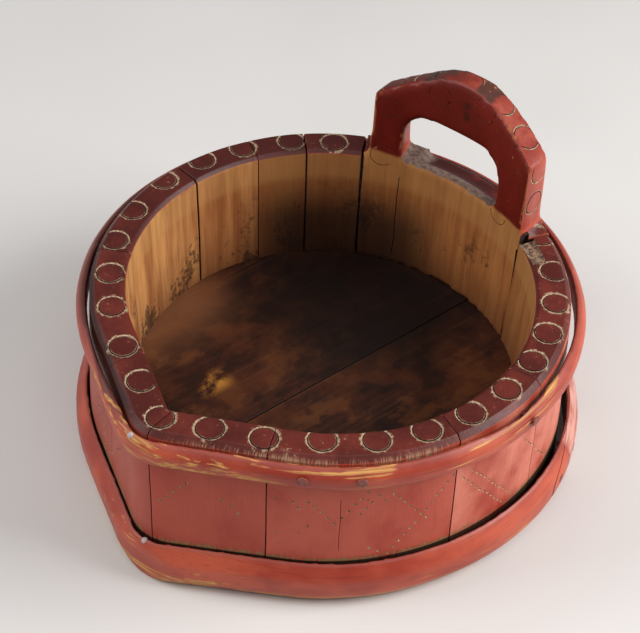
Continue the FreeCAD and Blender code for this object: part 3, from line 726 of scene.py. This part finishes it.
def pinched(spot):
    """The torn hollow in the upper hoop's inner edge at the right front, and the bulge at the left."""
    out = math.hypot(spot.x, spot.y)
    way = math.degrees(math.atan2(spot.y, spot.x)) % 360
    edge = 0.1475 + 0.0275 * math.exp(-(((way - 270) / 16) ** 2))
    inner = min(1.0, max(0.0, 1 - (out - edge) / 0.006)) * min(1.0, max(0.0, (spot.z - 0.1) / 0.01))
    hollow = 0.0026 * math.exp(-((((way - 356 + 180) % 360 - 180) / 7) ** 2))
    hollow += 0.0030 * math.exp(-(((way - 246) / 13) ** 2))
    return spot + round_spot(way, hollow * inner, 0)


def lap_cutter(name, way, middle, thick, height):
    """The hairline of the lapped joint: a thin upright sheet on an off-centre round."""
    turn, reach = math.radians(way), math.hypot(middle, LAP_OFFSET)
    centre = Vector((LAP_OFFSET * math.sin(turn), -LAP_OFFSET * math.cos(turn), height))
    bpy.ops.mesh.primitive_cylinder_add(
        vertices=360, radius=reach, depth=0.05, end_fill_type="NOTHING", location=centre
    )
    lap = joined(name, [bpy.context.object], ring_faint)
    heading = turn + math.atan(LAP_OFFSET / middle)
    facing = Vector((math.cos(heading), math.sin(heading), 0))
    bpy.ops.object.mode_set(mode="EDIT")
    bpy.ops.mesh.select_mode(type="VERT")
    bpy.ops.mesh.select_all(action="DESELECT")
    bpy.ops.object.mode_set(mode="OBJECT")
    narrow = math.cos(0.7 * thick / LAP_OFFSET)
    for point in lap.data.vertices:
        point.select = (point.co - centre).xy.normalized().dot(facing.xy) < narrow
    bpy.ops.object.mode_set(mode="EDIT")
    bpy.ops.mesh.delete(type="VERT")
    bpy.ops.object.mode_set(mode="OBJECT")
    sheet = lap.modifiers.new("sheet", "SOLIDIFY")
    sheet.thickness, sheet.offset = 0.0003, 0
    bpy.ops.object.modifier_apply(modifier=sheet.name)
    return lap


LAP_OFFSET = 0.024
HOOPS = [
    (
        "upper_hoop", "upper_bent_hoop", 330, 5.0, 0.093, 0.0205,
        [(262, 12, 8, 0.85, 0.15, 0.17), (277, 8, 6, 0.2, 0.25, 0.24), (318, 4, 4, 0.6, 0.3, 0.16),
         (342, 16, 10, 0.72, 0.2, 0.12), (330, 30, 20, 0.95, 0.1, 0.1), (0, 8, 6, 0.9, 0.15, 0.2),
         (306, 16, 8, 0.97, 0.06, 0.2), (294, 5, 5, 0.45, 0.2, 0.2), (284, 5, 5, 0.6, 0.2, 0.2)],
    ),
    (
        "lower_hoop", "lower_bent_hoop", 201, 15.0, 0.0, 0.0315,
        [(270, 14, 10, 0.1, 0.2, 0.26), (300, 60, 20, 0.1, 0.1, 0.22), (345, 20, 15, 0.3, 0.15, 0.1),
         (262, 6, 5, 0.75, 0.15, 0.14)],
    ),
]
for node, name, turn, seed, foot, height, rubs in HOOPS:
    hoop = worked_copy(node, name, flat=0.3)
    close_meshed(hoop, 0.0015)
    bpy.ops.object.mode_set(mode="EDIT")
    bpy.ops.mesh.select_all(action="SELECT")
    bpy.ops.mesh.vertices_smooth(factor=0.5, repeat=6)
    bpy.ops.object.mode_set(mode="OBJECT")
    hoop.data.materials.append(
        hoop_paint(name + "_paint", turn, seed, 0.155, foot, height, rubs, node == "lower_hoop")
    )
    way, middle, thick = (150, 0.1552, 0.0074) if node == "upper_hoop" else (21, 0.1594, 0.0088)
    lap = lap_cutter(name + "_lap", way, middle, thick, foot + height / 2)
    cut_with(hoop, lap)
    bpy.data.objects.remove(lap)
    for point in hoop.data.vertices:
        point.co = settled(point.co * 0.9985 + carved(point.co, 30, 0.0003))
        if node == "upper_hoop":
            point.co = pinched(point.co)
    bpy.ops.object.shade_smooth_by_angle(angle=math.radians(50))

# Small forged nails hold the laps and the front of the upper hoop.
iron = Finish("forged_iron", roughness=0.5)
rust = iron.grained((700, 700, 700), detail=4)
overpaint = iron.blend(rust.rising(0.5, 0.62), tone("#93392A"), tone("#6B564C"))
forged = iron.done(iron.blend(rust.rising(0.46, 0.38), overpaint, tone("#3A2620")), rust * 0.0003)
# Painted glint: a pale ball at the top of each hoop's corner bend stands in for the gleam on the crease there.
glint_finish = Finish("painted_corner_glint", roughness=0.35)
glint_grain = glint_finish.grained((900, 900, 900), detail=3)
painted_glint = glint_finish.done(glint_finish.blend(glint_grain, tone("#8E7C7C"), tone("#CDBFBF")), glint_grain * 0.0001)
CORNER_GLINTS = {
    "upper_hoop_nails": Vector((-0.0043, -0.1696, 0.1120)),
    "lower_hoop_nails": Vector((0.0058, -0.1726, 0.0298)),
}
for node in CORNER_GLINTS:
    nails = worked_copy(node, node + "_forged")
    edges_eased(nails, 0.0003)
    for point in nails.data.vertices:
        way = math.degrees(math.atan2(point.co.y, point.co.x))
        point.co = settled(point.co - round_spot(way, 0.0007 if node[0] == "u" else 0.0024, 0))
    nails.data.materials.append(forged)
    bpy.ops.mesh.primitive_uv_sphere_add(segments=14, ring_count=8, radius=0.0021, location=CORNER_GLINTS[node])
    glint_ball = joined("corner_glint", [bpy.context.object], painted_glint)
    bpy.ops.object.select_all(action="DESELECT")
    glint_ball.select_set(True)
    nails.select_set(True)
    bpy.context.view_layer.objects.active = nails
    bpy.ops.object.join()
    smoothed(nails)

# The bowl stands on a pale studio table under broad soft lamps.
bpy.ops.object.select_all(action="DESELECT")
bpy.ops.mesh.primitive_plane_add(size=12, location=(0, 0, 0))
table = bpy.context.object
table.name = "pale_table"
table_top = Finish("pale_table_top", roughness=0.6)
table.data.materials.append(
    table_top.done(
        table_top.blend(
            table_top.grained((3, 3, 3), detail=2).rising(0.3, 0.7), tone("#CFCCC9"), tone("#D5D2CF")
        )
    )
)

for name, way, rise, away, size, power in (
    ("lamp_right", 32, 38, 1.6, 0.9, 27),
    ("lamp_left", 222, 38, 1.8, 1.0, 15),
    ("lamp_overhead", 300, 72, 1.9, 1.6, 9),
):
    lamp = bpy.data.lights.new(name, "AREA")
    lamp.size, lamp.energy = size, power
    holder = bpy.data.objects.new(name, lamp)
    level = away * math.sin(math.radians(rise))
    holder.location = round_spot(way, away * math.cos(math.radians(rise)), level)
    heading = holder.location - Vector((0, 0, 0.08))
    holder.rotation_euler = heading.to_track_quat("Z", "Y").to_euler()
    bpy.context.scene.collection.objects.link(holder)

world = bpy.data.worlds.new("room")
world.use_nodes = True
world.node_tree.nodes["Background"].inputs["Color"].default_value = (0.78, 0.78, 0.78, 1)
world.node_tree.nodes["Background"].inputs["Strength"].default_value = 0.3
bpy.context.scene.world = world
bpy.context.scene.view_settings.view_transform = "Standard"

view = bpy.data.cameras.new("viewer")
view.lens, view.sensor_width, view.sensor_fit = 101.25, 36, "HORIZONTAL"
viewer = bpy.data.objects.new("viewer", view)
stand = Vector((0.4956, -0.63777, 0.86458))
aim = Vector((0.00517, -0.01589, 0.1012))
upright = (stand - aim).to_track_quat("Z", "Y").to_matrix().to_4x4()
viewer.matrix_world = Matrix.Translation(stand) @ upright @ Matrix.Rotation(math.radians(2.885), 4, "Z")
bpy.context.scene.collection.objects.link(viewer)
bpy.context.scene.camera = viewer
